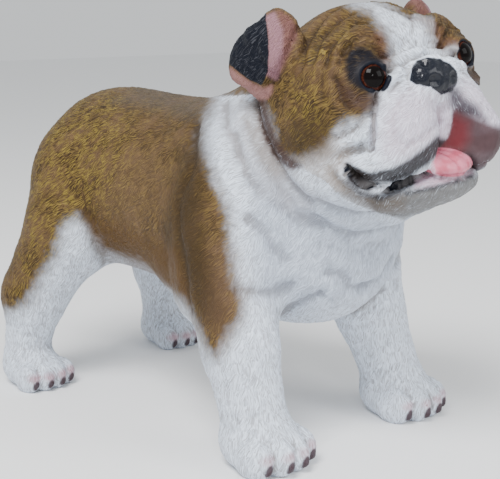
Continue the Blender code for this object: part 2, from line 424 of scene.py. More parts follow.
def even_skin(mesh, voxel):
    """The closed mesh as one skin of even squares."""
    rough = new_object("rough_clay", mesh)
    remesh = rough.modifiers.new("one_skin", "REMESH")
    remesh.mode = "VOXEL"
    remesh.voxel_size = voxel
    bpy.context.view_layer.update()
    skin = bpy.data.meshes.new_from_object(rough.evaluated_get(bpy.context.evaluated_depsgraph_get()))
    bpy.data.objects.remove(rough)
    return skin


def smoothed(mesh, factor, rounds=1):
    skin = bmesh.new()
    skin.from_mesh(mesh)
    for _ in range(rounds):
        bmesh.ops.smooth_vert(
            skin, verts=skin.verts, factor=factor, use_axis_x=True, use_axis_y=True, use_axis_z=True
        )
    skin.to_mesh(mesh)
    skin.free()


def fine_places():
    """Where the skin is finer: balls, each a middle and a radius."""
    yield HEAD_MIDDLE + HEAD_LIE @ np.array((0, -24, -16)), FACE_REACH
    for side in (-1, 1):
        yield HEAD_MIDDLE + HEAD_LIE @ np.array((side * 80, 14, 34)), EAR_REACH
        yield np.array((side * PAW_X + FRONT_PAW_SHIFT[side], FRONT_PAW_Y - 18, 12)), PAW_REACH
        yield np.array((side * PAW_X, HIND_PAW_Y[side] - 14, 10)), PAW_REACH


def divided(mesh):
    """Divides the skin's squares in the fine places into four."""
    skin = bmesh.new()
    skin.from_mesh(mesh)
    chosen = set()
    for middle, reach in fine_places():
        place = Vector(middle)
        chosen.update(face for face in skin.faces if (face.calc_center_median() - place).length < reach)
    edges = {edge for face in chosen for edge in face.edges}
    bmesh.ops.subdivide_edges(
        skin, edges=[edge for edge in skin.edges if edge in edges], cuts=1, use_grid_fill=True
    )
    skin.to_mesh(mesh)
    skin.free()


def modelled(volumes):
    """The clay as one skin that follows the blended volumes, roughed out first and then made fine."""
    mesh = even_skin(rough_clay(volumes), ROUGH_VOXEL)
    set_points(mesh, pull_to_surface(points_of(mesh), volumes, 5))
    mesh = even_skin(mesh, CLAY_VOXEL)
    set_points(mesh, pull_to_surface(points_of(mesh), volumes, 1))
    smoothed(mesh, 0.5)
    divided(mesh)
    for _ in range(2):
        set_points(mesh, pull_to_surface(points_of(mesh), volumes, 1))
        smoothed(mesh, 0.5)
    set_points(mesh, pull_to_surface(points_of(mesh), volumes, 1))
    return mesh


# Finer lumps that only the skin shows, in the head's own frame and at the paws
def lid_cut(side):
    """The middle of the scoop that opens an eye's lids."""
    return HEAD_MIDDLE + HEAD_LIE @ np.array(beside_eye(side, 0, 0, 0, LID_CUT_AHEAD))


NOSTRILS = [
    *two((8.8, -90, -1), (5.0, 5.5, 3.8), 1.2, (0, -20, 20), scoop=True),
    *two((15.5, -87, -4), (5.0, 4.0, 1.8), 1, (0, 30, 40), scoop=True),
    *one((0, -91, -5), (1.2, 4.5, 9), 1, (-18, 0, 0), scoop=True),
]


def finer_face():
    return [
        *NOSTRILS,
        *one((0, -97, -20), (1.6, 6, 12), 3, scoop=True),
        *two((48, -61, -66), (7, 6, 4.5), 2),
        *one((-1, -88, -57), (1.4, 13, 3), 3, (24, 0, 0), scoop=True),
    ]


def claw_places():
    """Where each claw grows: its middle, at the front of its toe."""
    for side in (-1, 1):
        x = side * PAW_X
        for a, b in toe_places(x + FRONT_PAW_SHIFT[side], FRONT_PAW_Y - 20, FRONT_TOE_PITCH):
            yield np.array((a, b - 14.5, 9.5)), 1.0
        for a, b in toe_places(x, HIND_PAW_Y[side] - 20, HIND_TOE_PITCH):
            yield np.array((a, b - 11.8, 8.0)), 0.85


def claws():
    return [Volume(at, (3.3 * k, 4.6 * k, 5.4 * k), 1.0, (-28, 0, 0)) for at, k in claw_places()]


# The photograph's frame
def camera_turn():
    azimuth = math.radians(CAMERA_AZIMUTH)
    down = math.radians(CAMERA_DOWN)
    level = math.cos(down)
    ahead = np.array((-math.sin(azimuth) * level, math.cos(azimuth) * level, -math.sin(down)))
    right = np.array((math.cos(azimuth), math.sin(azimuth), 0))
    return right, np.cross(right, ahead), ahead


RIGHT, UP, AHEAD = camera_turn()


def photo_place(points):
    """Where points fall in the photograph, in its pixels."""
    away = points - CAMERA_AT
    depth = away @ AHEAD
    across = PHOTO_SIZE[0] / 2 + FOCAL_PIXELS * (away @ RIGHT) / depth
    return np.stack((across, PHOTO_SIZE[1] / 2 - FOCAL_PIXELS * (away @ UP) / depth), axis=1)


def ray_through(u, v):
    across = (u - PHOTO_SIZE[0] / 2) / FOCAL_PIXELS
    up = (PHOTO_SIZE[1] / 2 - v) / FOCAL_PIXELS
    ray = AHEAD + across * RIGHT + up * UP
    return ray / np.linalg.norm(ray)


def laid_on(clay, route):
    """A route through the photograph's pixels, as points on the clay about 1.5 mm apart."""
    found = []
    for (u, v), (w, x) in zip(route[:-1], route[1:]):
        steps = max(2, round(math.hypot(w - u, x - v) / 1.5))
        for share in np.arange(steps) / steps:
            ray = ray_through(u + share * (w - u), v + share * (x - v))
            hit = clay.ray_cast(Vector(CAMERA_AT), Vector(ray))[0]
            if hit is not None:
                found.append(np.array(hit))
    return np.array(found)


def in_head(points):
    return (points - HEAD_MIDDLE) @ HEAD_LIE


def head_mirrored(points):
    """Points reflected across the head's own middle plane."""
    local = in_head(points)
    local[:, 0] *= -1
    return HEAD_MIDDLE + local @ HEAD_LIE.T


def far_from(points, line, most=30.0):
    """Each point's distance to the nearest point of a laid route, up to a limit."""
    distance = np.full(len(points), most)
    low, high = line.min(axis=0) - most, line.max(axis=0) + most
    near = np.flatnonzero(((points > low) & (points < high)).all(axis=1))
    found = distance[near]
    spots = points[near]
    for spot in line:
        found = np.minimum(found, np.linalg.norm(spots - spot, axis=1))
    distance[near] = found
    return distance


def inside(outline, places):
    """How far inside a closed outline of pixels each place is, negative outside."""
    corners = np.array(outline, float)
    nearest = np.full(len(places), 1e9)
    within = np.zeros(len(places), bool)
    u, v = places[:, 0], places[:, 1]
    for start, end in zip(corners, np.roll(corners, -1, axis=0)):
        run = end - start
        share = np.clip(((places - start) @ run) / (run @ run), 0, 1)
        nearest = np.minimum(nearest, np.linalg.norm(places - start - share[:, None] * run, axis=1))
        crosses = (start[1] > v) != (end[1] > v)
        if start[1] != end[1]:
            within ^= crosses & (u < start[0] + (v - start[1]) * run[0] / run[1])
    return np.where(within, nearest, -nearest)


def soft(values, width):
    """0 below, 1 above, and smooth between minus and plus the width."""
    share = np.clip(0.5 + 0.5 * values / width, 0, 1)
    return share * share * (3 - 2 * share)


# Folds: each a route, its depth and its width in millimetres. The far side has them too.
NOSE_FOLD = [
    (392, 67), (384, 77), (379, 88), (376, 101), (374, 115), (373, 129), (374, 140), (371, 149),
]
MOUTH_LINE = [
    (348, 168), (353, 175), (361, 182), (371, 187), (382, 188), (394, 186), (405, 182), (417, 176),
    (428, 170),
]
HEAD_FOLDS = [
    (NOSE_FOLD, 4.2, 1.9),
    ([(338, 159), (348, 153), (360, 150), (371, 148)], 2.0, 3.4),
    (MOUTH_LINE, 6.5, 3.0),
    ([(371, 113), (365, 121), (357, 128), (346, 134), (336, 139)], 2.4, 2.4),
    ([(337, 80), (339, 90), (343, 102), (352, 111), (364, 115)], 2.6, 2.6),
    ([(391, 70), (398, 63), (407, 57), (418, 53), (430, 53), (441, 55), (449, 60)], 3.4, 2.6),
    ([(410, 90), (401, 99), (395, 112), (393, 126), (396, 142)], 1.5, 3.4),
    ([(440, 121), (430, 132), (420, 140), (408, 147)], 1.2, 2.4),
    ([(341, 166), (343, 158), (352, 152), (364, 148), (374, 150)], 1.8, 2.4),
    ([(345, 52), (351, 45), (361, 42), (372, 45), (380, 52), (386, 61)], 2.8, 2.4),
    ([(339, 62), (344, 50), (353, 39), (364, 34), (376, 36), (384, 45)], 3.0, 2.6),
    ([(326, 62), (332, 46), (342, 33), (355, 24), (368, 24)], 3.4, 2.8),
    ([(313, 62), (318, 45), (327, 31), (339, 19), (352, 13)], 3.4, 3.0),
    ([(302, 68), (306, 49), (313, 34), (323, 20), (333, 11)], 3.2, 3.0),
    ([(323, 97), (321, 84), (324, 71), (331, 60)], 1.6, 3.2),
    ([(371, 10), (374, 17), (380, 24)], 1.0, 2.4),
    ([(410, 14), (413, 26), (411, 38), (402, 47)], 1.0, 3.0),
    ([(300, 28), (293, 43), (287, 57), (278, 74), (270, 86)], 2.6, 2.8),
    ([(331, 168), (341, 184), (355, 196), (374, 203)], 1.6, 3.4),
]
BODY_FOLDS = [
    ([(255, 102), (259, 126), (269, 149), (279, 169), (292, 186), (308, 198)], 5.0, 4.6),
    ([(246, 122), (255, 143), (267, 165), (277, 184), (290, 200)], 3.4, 4.0),
    ([(237, 135), (241, 155), (249, 175), (261, 192)], 3.0, 4.6),
    ([(225, 104), (226, 122), (231, 140), (238, 156)], 2.4, 4.6),
    ([(318, 200), (338, 210), (356, 215), (376, 214), (396, 216)], 3.2, 4.4),
    ([(316, 216), (334, 229), (352, 235), (370, 233), (386, 228)], 2.8, 4.6),
    ([(249, 219), (265, 232), (275, 248), (285, 258)], 2.4, 5.0),
    ([(235, 290), (257, 292), (275, 291), (291, 286)], 2.4, 5.0),
    ([(281, 315), (299, 303), (321, 294)], 3.0, 5.0),
    ([(362, 290), (380, 280), (394, 256)], 3.0, 5.0),
    ([(196, 127), (192, 166), (177, 202), (178, 235), (184, 268), (186, 292), (191, 312)], 3.2, 5.0),
    ([(272, 198), (288, 212), (304, 221), (322, 226)], 2.4, 4.6),
    ([(108, 268), (99, 250), (92, 232), (86, 214)], 2.0, 6.0),
]

# Edges of the painted colours and of the painted shade, in the photograph's pixels
SADDLE = [
    (218, 60), (216, 102), (206, 121), (200, 147), (212, 168), (222, 194), (231, 215), (233, 243),
    (235, 274), (243, 298), (244, 318), (231, 333), (224, 349), (216, 360), (206, 356), (196, 330),
    (184, 303), (163, 287), (143, 276), (122, 262), (102, 251), (90, 229), (76, 219), (68, 224),
    (63, 236), (53, 261), (43, 278), (31, 301), (12, 315), (-60, 322), (-60, 20), (218, 20),
]
FACE_PATCH = [
    (353, 3), (364, 6), (374, 11), (381, 23), (388, 36), (391, 52), (391, 68), (383, 82),
    (377, 100), (373, 112), (362, 120), (353, 122), (344, 127), (337, 132), (332, 143), (328, 152),
    (315, 156), (304, 160), (295, 162), (284, 160), (277, 152), (271, 139), (266, 118), (258, 100),
    (215, 100), (215, -60), (353, -60),
]
FACE_NECK = [
    (216, 96), (258, 96), (262, 112), (268, 135), (276, 152), (288, 163), (306, 166), (328, 178),
    (345, 195), (370, 206), (404, 216), (520, 200), (520, -60), (216, -60),
]
RUMP_GOLD = [
    (25, 190), (40, 120), (75, 95), (120, 90), (130, 150), (110, 200), (75, 215), (45, 250),
    (20, 290),
]
LIP_EDGE = [
    (352, 170), (372, 172), (393, 168), (410, 159), (425, 147), (436, 137), (446, 132), (452, 138),
    (441, 152), (430, 163), (413, 176), (395, 183), (372, 183), (356, 177),
]
MOUTH_CORNER = [
    (347, 164), (357, 168), (367, 174), (372, 182), (368, 189), (358, 187), (350, 180), (346, 172),
]
LOWER_LIP_EDGE = [
    (347, 176), (362, 190), (381, 195), (399, 188), (414, 181), (414, 185), (400, 194), (381, 201),
    (360, 196), (344, 182),
]
NOSE_PAD = [
    (410, 80), (412, 68), (417, 60), (428, 57), (441, 59), (451, 64), (457, 72), (458, 82),
    (452, 92), (441, 95), (431, 87), (416, 85),
]
LOWER_LIP = [
    (416, 181), (432, 174), (450, 173), (472, 167), (474, 174), (452, 181), (432, 186), (414, 188),
]
CHIN_LINE = [
    (404, 192), (432, 186), (452, 181), (474, 173), (475, 178), (453, 185), (433, 190), (406, 196),
]
NOSE_SHADE = [
    (448, 88), (458, 88), (464, 96), (478, 106), (486, 118), (470, 118), (456, 116), (450, 106),
]
FLEW_DEEP = [
    (446, 132), (448, 116), (457, 112), (470, 122), (470, 138), (462, 152), (438, 152), (444, 141),
]
CHEEK_DARK = [(292, 118), (320, 112), (334, 124), (327, 148), (312, 158), (292, 158), (278, 146)]
CHEEK_BACK_SHADE = [
    (256, 94), (264, 98), (270, 118), (276, 138), (288, 156), (302, 166), (292, 170), (276, 162),
    (264, 142), (258, 120),
]
BROW_RED = [(374, 34), (382, 26), (390, 40), (392, 66), (384, 66), (378, 50)]
EAR_INNER = [(279, 12), (290, 18), (299, 28), (293, 44), (286, 58), (277, 76), (281, 55), (282, 32)]
CHIN_SHADE = [
    (372, 200), (400, 195), (440, 186), (474, 176), (478, 194), (440, 208), (404, 218), (376, 213),
]
JAW_SHADE = [
    (333, 166), (345, 180), (358, 192), (380, 199), (404, 197), (404, 208), (380, 212), (356, 206),
    (338, 192), (326, 172),
]
JOWL_CREAM = [
    (296, 160), (330, 142), (352, 148), (346, 164), (334, 174), (344, 190), (330, 192), (310, 180),
]
MUZZLE_PINK = [
    (395, 95), (415, 88), (440, 96), (449, 116), (446, 136), (430, 150), (405, 160), (385, 160),
    (378, 135), (384, 108),
]
BACK_GREY = [(140, 84), (205, 100), (215, 112), (206, 122), (180, 116), (140, 106), (110, 102)]
SHOULDER_DARK = [
    (196, 122), (208, 150), (202, 185), (202, 225), (214, 262), (226, 300), (222, 330), (206, 326),
    (188, 300), (174, 262), (168, 230), (170, 200), (182, 166),
]
ELBOW_RED = [(212, 240), (236, 250), (246, 300), (236, 335), (222, 350), (206, 330)]
NECK_SHADE = [
    (218, 100), (252, 100), (264, 130), (286, 168), (322, 200), (306, 218), (262, 196), (236, 164),
    (220, 130),
]
CHEST_SHADE = [
    (250, 170), (330, 195), (400, 220), (412, 262), (380, 300), (300, 312), (258, 296), (250, 240),
]
COLLAR_TAN = [
    (244, 98), (256, 98), (262, 120), (272, 150), (286, 172), (270, 178), (252, 150), (242, 120),
]
MID_FLANK = [(110, 165), (150, 150), (170, 170), (165, 215), (140, 240), (110, 220)]
LOWER_FLANK_SHADE = [(84, 215), (120, 225), (175, 250), (190, 300), (150, 282), (118, 262), (92, 240)]
CHEEK_GOLD = [
    (330, 30), (345, 30), (322, 62), (315, 90), (322, 110), (334, 122), (328, 148), (305, 156),
    (292, 130), (292, 80),
]
EAR_FLAP = [
    (266, 14), (268, 34), (269, 53), (268, 72), (262, 85), (250, 80), (236, 70), (227, 62),
    (220, 50), (250, -6),
]
EAR_PINK = [(267, 17), (274, 14), (281, 30), (281, 55), (276, 78), (268, 74), (270, 54), (270, 34)]
EAR_UNDER = [
    (231, 69), (240, 76), (252, 84), (264, 89), (272, 86), (270, 98), (250, 99), (234, 92),
    (222, 70),
]
NEAR_EYE_SMUDGE = [
    (345, 60), (349, 50), (359, 46), (369, 48), (376, 55), (384, 60), (386, 72), (384, 88),
    (372, 92), (358, 89), (347, 80),
]
POUCH = [
    (336, 82), (348, 84), (356, 91), (368, 94), (378, 92), (377, 106), (366, 113), (352, 110),
    (343, 102),
]
FLEW_NEAR_EDGE = [
    (452, 90), (453, 114), (451, 128), (448, 138), (441, 146), (436, 152), (436, 200), (520, 200),
    (520, 90),
]
FLEW_INSIDE = [
    (442, 112), (441, 132), (438, 139), (434, 146), (430, 152), (450, 150), (460, 150), (466, 158),
    (470, 172), (506, 172), (506, 128), (492, 124), (482, 120), (472, 116), (462, 112), (455, 110),
]


def add_folds(points, out, clay):
    """How far the folds move each point of the skin along its normal, and how much it is creased."""
    shift = np.zeros(len(points))
    creased = np.zeros(len(points))
    mirrored_points = head_mirrored(points)
    body_mirrored = points * np.array((-1, 1, 1))
    for folds, other in ((HEAD_FOLDS, mirrored_points), (BODY_FOLDS, body_mirrored)):
        for route, depth, width in folds:
            line = laid_on(clay, route)
            for place in (points, other):
                distance = far_from(place, line, 6 * width)
                shift -= depth * np.exp(-((distance / width) ** 2))
                shift += 0.3 * depth * np.exp(-(((distance - 2.4 * width) / (1.3 * width)) ** 2))
                bottom = np.exp(-((distance / (0.5 * width)) ** 2))
                creased = np.maximum(creased, bottom * min(1, depth / 4))
    return shift, creased


def hair_direction(points, out):
    """Which way the hair lies at each point of the skin, along the surface."""
    local = in_head(points)
    on_head = soft(78 - np.linalg.norm(local - np.array((0, -18, -18)), axis=1), 12)[:, None]
    down_leg = soft(110 - points[:, 2], 40)[:, None]
    body = np.array((0, 0.75, -0.65)) * (1 - down_leg) + np.array((0, 0.15, -1.0)) * down_leg
    from_nose = (local - np.array((0, -92, 6))) * np.array((1, 1, 0.9))
    from_nose /= np.linalg.norm(from_nose, axis=1, keepdims=True) + 1e-9
    lie = on_head * (from_nose @ HEAD_LIE.T) + (1 - on_head) * body
    lie -= out * np.sum(lie * out, axis=1, keepdims=True)
    return lie / (np.linalg.norm(lie, axis=1, keepdims=True) + 1e-6)


def tufted(points, lie, out):
    """Locks of hair pressed into the clay: a height for each point, about -1 to 1."""
    pick = np.random.default_rng(LOCK_SEED)
    near_face = soft(80 - np.linalg.norm(in_head(points), axis=1), 15)
    step = CLAY_VOXEL / (1 + near_face)
    reach = LOCK_SIZE * (1 - 0.35 * near_face)
    seeds = np.flatnonzero(pick.random(len(points)) < (step / reach) ** 2)
    tree = KDTree(len(seeds))
    for index in seeds:
        tree.insert(points[index], int(index))
    tree.balance()
    owner = np.array([tree.find(point)[1] for point in points])
    swirl = pick.uniform(-0.5, 0.5, len(points))[owner, None]
    phase = pick.uniform(0, FULL_TURN, len(points))[owner]
    side = np.cross(out, lie)
    along_axis = lie[owner] + swirl * side[owner]
    across_axis = side[owner] - swirl * lie[owner]
    away = points - points[owner]
    along = np.sum(away * along_axis, axis=1) / reach
    across = np.sum(away * across_axis, axis=1)
    strand = np.cos(across * FULL_TURN / (reach * STRAND_SHARE) + phase)
    return 0.55 * strand + 0.9 * np.clip(along, -0.7, 0.7)


def normals_of(mesh):
    found = np.empty(len(mesh.vertices) * 3)
    mesh.vertex_normals.foreach_get("vector", found)
    return found.reshape(-1, 3)


def hollows(mesh, rounds=8):
    """How far each point lies below its smoothed surroundings, in millimetres."""
    points = points_of(mesh)
    copy = mesh.copy()
    smoothed(copy, 0.5, rounds)
    below = np.sum((points_of(copy) - points) * normals_of(mesh), axis=1)
    bpy.data.meshes.remove(copy)
    return below


def carve(mesh):
    """Presses the folds and the locks of hair into the skin."""
    points = points_of(mesh)
    out = normals_of(mesh)
    clay = BVHTree.FromPolygons([Vector(p) for p in points], [tuple(f.vertices) for f in mesh.polygons])
    shift, creased = add_folds(points, out, clay)
    set_points(mesh, points + out * shift[:, None])
    smoothed(mesh, 0.35)
    points = points_of(mesh)
    out = normals_of(mesh)
    lie = hair_direction(points, out)
    height = LOCK_HEIGHT * (1 - hairless(points)) * soft(points[:, 2] - 12, 10)
    set_points(mesh, points + out * (height * tufted(points, lie, out))[:, None])
    return clay, creased


def hairless(points):
    """1 on the nose, the tongue, the eyelids, the mouth and the ears' insides, and 0 on the coat."""
    bare = soft(2.5 - NOSE.distance(points), 1.5)
    bare = np.maximum(bare, soft(1.5 - TONGUE.distance(points), 1.5))
    for side in (-1, 1):
        lids = np.linalg.norm(points - lid_cut(side), axis=1)
        bare = np.maximum(bare, soft(LID_BARE_REACH - lids, 2.0))
    for volume in claws():
        bare = np.maximum(bare, soft(1.5 - volume.distance(points), 1.5))
    return bare


def blot(amount, colour, base, cover):
    """Lays a colour over what is painted so far, with a soft edge; some of these colours are painted
    shade.
    """
    amount = np.clip(amount, 0, 1)[:, None]
    covered = 1 - (1 - cover[:, None]) * (1 - amount)
    mixed = base * (1 - amount) * cover[:, None] + np.array(colour) * amount
    return mixed / np.maximum(covered, 1e-6), covered[:, 0]


def painted(points, out, clay, creased, below):
    """The paint on each point: edges as distances in millimetres, and tints and painted shade as
    colours.
    """
    local = in_head(points)
    places = places_in_photo(points)
    seen, face, flank = places["seen"], places["face"], places["flank"]
    on_head = inside(FACE_NECK, face) > 0
    saddle = inside(SADDLE, flank)
    saddle = np.minimum(saddle, 0.5 * (points[:, 2] - 112) + 60 * (out[:, 2] + 0.55))
    coat = np.where(on_head, inside(FACE_PATCH, face), saddle)
    near_ears = np.full(len(points), 50.0)
    for volume in ear(-1, 1.0) + ear(1, FAR_EAR_RISE):
        near_ears = np.minimum(near_ears, volume.distance(points))
    on_ear = soft(3.5 - near_ears, 1.0) * soft(np.abs(local[:, 0]) - 60, 4)
    coat = np.where(on_ear > 0.5, np.maximum(coat, 6), coat)

    marks = np.full(len(points), -30.0)
    flap = np.minimum(inside(EAR_FLAP, face), 3 - near_ears)
    marks = np.maximum(marks, np.minimum(flap, np.where(on_ear > 0.3, 9.0, -9.0)))
    nose = np.minimum(0.8 * inside(NOSE_PAD, seen), -local[:, 1] - 58)
    marks = np.maximum(marks, nose)
    for side in (-1, 1):
        lids = np.linalg.norm(points - lid_cut(side), axis=1)
        marks = np.maximum(marks, LID_PAINT_REACH[side] - lids)
    gap = far_from(points, laid_on(clay, MOUTH_LINE))
    gap = np.minimum(gap, far_from(head_mirrored(points), laid_on(clay, MOUTH_LINE[:6])))
    marks = np.maximum(marks, 3.4 - gap)

    wash_and_shade = np.zeros((len(points), 3))
    cover = np.zeros(len(points))
    # Darker in the creases and hollows: partly the resin's dark wash, partly painted shade
    brown_hollow_wash_and_shade = np.maximum(creased, np.clip(below / 0.7 - 0.15, 0, 1))
    wash_and_shade, cover = blot(brown_hollow_wash_and_shade * 0.75 * soft(coat, 4), BROWN_HOLLOW_WASH_AND_SHADE, wash_and_shade, cover)
    white_hollow_wash_and_shade = np.maximum(creased, np.clip(below / 0.5 - 0.08, 0, 1))
    wash_and_shade, cover = blot(white_hollow_wash_and_shade * 0.80 * soft(-coat, 4), WHITE_HOLLOW_WASH_AND_SHADE, wash_and_shade, cover)
    for amount, colour in washes_and_shade(points, out, on_ear):
        wash_and_shade, cover = blot(amount, colour, wash_and_shade, cover)
    tongue = np.minimum(1.6 - TONGUE.distance(points), -local[:, 1] - 40)
    gloss = np.maximum(soft(nose, 1.0), soft(tongue, 0.8))
    flew = soft(inside(FLEW_INSIDE, seen), 3) * (local[:, 0] > -12) * on_head * (out @ AHEAD < 0)
    gold = np.maximum(soft(inside(CHEEK_GOLD, face), 16), soft(inside(RUMP_GOLD, flank), 24))
    smooth = np.maximum.reduce((hairless(points), gloss, flew, soft(6.5 - gap, 3)))
    return {
        "coat": coat,
        "marks": marks,
        "wash_and_shade": wash_and_shade,
        "cover": cover,
        "gloss": gloss,
        "gold": gold,
        "tongue": tongue,
        "bare": smooth,
    }


# Colours of the paint, as linear red, green and blue, and the size of a claw's pink bed
# The two hollow colours: partly the resin's dark wash in its hollows, partly painted shade there
BROWN_HOLLOW_WASH_AND_SHADE = (0.028, 0.017, 0.011)
WHITE_HOLLOW_WASH_AND_SHADE = (0.20, 0.18, 0.17)
CLAW = (0.035, 0.012, 0.016)
CLAW_BED = (0.42, 0.15, 0.18)
CLAW_BED_SIZE = np.array((4.5, 5, 3.5))

# Soft tints and painted shade, in the order they are laid: the part of the dog, how the outline
# falls on it, the outline, how much wider it is, its softness, its strength and its colour
TINTS_AND_SHADE = (
    ("head", "face", CHIN_SHADE, 2, 6, 0.9, (0.125, 0.118, 0.11)),
    ("head", "face", JAW_SHADE, 1, 7, 0.8, (0.14, 0.115, 0.095)),
    ("head", "face", JOWL_CREAM, 1, 8, 0.6, (0.34, 0.28, 0.235)),
    ("head", "face", MUZZLE_PINK, 0, 14, 0.6, (0.58, 0.46, 0.56)),
    ("head", "face", CHEEK_DARK, 0, 12, 0.7, (0.045, 0.028, 0.012)),
    # painted shade in the crease between the back of the cheek and the neck
    ("all", "face", CHEEK_BACK_SHADE, 1, 4, 0.92, (0.045, 0.021, 0.014)),
    ("head", "face", BROW_RED, 0, 6, 0.6, (0.12, 0.052, 0.032)),
    ("front", "face", POUCH, 0, 6, 0.8, (0.05, 0.027, 0.02)),
    ("eye", "face", NEAR_EYE_SMUDGE, 0, 4, 1.0, (0.008, 0.007, 0.010)),
    ("ears", "face", EAR_INNER, 1, 4, 0.85, (0.17, 0.075, 0.07)),
    ("ears", "face", EAR_PINK, 2, 3, 0.95, (0.27, 0.14, 0.165)),
    ("ears", "face", EAR_UNDER, 1, 3, 0.9, (0.30, 0.15, 0.14)),
    ("shown", "seen", NOSE_SHADE, 0, 6, 0.9, (0.045, 0.036, 0.046)),
    ("front", "face", LIP_EDGE, 0, 3, 0.93, (0.014, 0.010, 0.010)),
    ("head", "face", MOUTH_CORNER, 1, 2, 0.97, (0.010, 0.006, 0.005)),
    ("front", "face", LOWER_LIP_EDGE, 0, 3, 0.8, (0.03, 0.025, 0.028)),
    ("shown", "seen", LOWER_LIP, 0, 3, 0.75, (0.50, 0.33, 0.42)),
    ("shown", "seen", CHIN_LINE, 0, 2, 0.85, (0.02, 0.017, 0.02)),
    # the flew's inner face: partly its dark flesh colour, partly painted shade
    ("flew", "seen", FLEW_INSIDE, 0, 5, 0.97, (0.070, 0.040, 0.044)),
    ("flew", "seen", FLEW_DEEP, -1, 9, 0.9, (0.14, 0.022, 0.028)),
    ("body", "flank", CHEST_SHADE, 0, 16, 0.55, (0.35, 0.40, 0.50)),
    # painted shade on the neck under the head
    ("body", "flank", NECK_SHADE, 0, 10, 0.5, (0.38, 0.37, 0.40)),
    ("body", "flank", BACK_GREY, 0, 10, 0.45, (0.075, 0.065, 0.055)),
    ("body", "flank", SHOULDER_DARK, 0, 14, 0.9, (0.042, 0.025, 0.010)),
    ("body", "flank", ELBOW_RED, 0, 14, 0.3, (0.17, 0.10, 0.062)),
    ("body", "flank", COLLAR_TAN, 0, 8, 0.35, (0.33, 0.27, 0.22)),
    ("body", "flank", MID_FLANK, 0, 16, 0.3, (0.17, 0.105, 0.055)),
    # painted shade on the lower flank, darker towards the belly
    ("body", "flank", LOWER_FLANK_SHADE, 0, 10, 0.7, (0.095, 0.048, 0.014)),
)


def places_in_photo(points):
    """Where points fall in the photograph: as they are, and with the far side laid on the near one."""
    near_head = np.where((in_head(points)[:, 0] > 0)[:, None], head_mirrored(points), points)
    near_body = np.where(points[:, :1] > 0, points * np.array((-1, 1, 1)), points)
    laid = {"seen": points, "face": near_head, "flank": near_body}
    return {name: photo_place(spots) for name, spots in laid.items()}


def washes_and_shade(points, out, on_ear):
    """Every soft tint and patch of painted shade: how much of it there is at each point, and its
    colour.
    """
    local = in_head(points)
    places = places_in_photo(points)
    head = (inside(FACE_NECK, places["face"]) > -4) * 1.0
    front = soft(-local[:, 1] - 22, 3) * head
    shown = soft(out @ -AHEAD + 0.05, 0.12)
    within = soft(local[:, 0] + 12, 3) * head * shown
    parts = {
        "all": 1.0,
        "head": head,
        "body": 1 - head,
        "front": front,
        "eye": front * np.where(local[:, 0] < 0, 1.0, 0.3),
        "ears": head * on_ear,
        "shown": front * shown,
        "flew": soft(inside(FLEW_NEAR_EDGE, places["seen"]), 1.2) * within,
    }
    for part, place, outline, wider, softness, strength, colour in TINTS_AND_SHADE:
        yield parts[part] * soft(inside(outline, places[place]) + wider, softness) * strength, colour
    for at, k in claw_places():
        away = (points - at - np.array((0, 3, 6.5)) * k) / CLAW_BED_SIZE
        yield soft(1.3 - np.linalg.norm(away, axis=1), 0.6) * 0.8, CLAW_BED
    for volume in claws():
        yield soft(1.0 - volume.distance(points), 0.6) * 0.95, CLAW


# The frame that the finished figure stands in
def figure_share():
    low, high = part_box("bulldog")
    return (np.array(high) - np.array(low)) / NOMINAL_SIZE


SHARE = figure_share()


def eye_middle(side):
    return HEAD_MIDDLE + HEAD_LIE @ np.array(EYE_AT[side])


def ground_offset():
    """How far the CAD step moved the figure to centre it, found from the left eye, in metres."""
    low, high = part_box("eye_left")
    return eye_middle(1) * SHARE - (np.array(low) + np.array(high)) / 2


OFFSET = ground_offset()


def in_metres(points):
    return points * SHARE - OFFSET


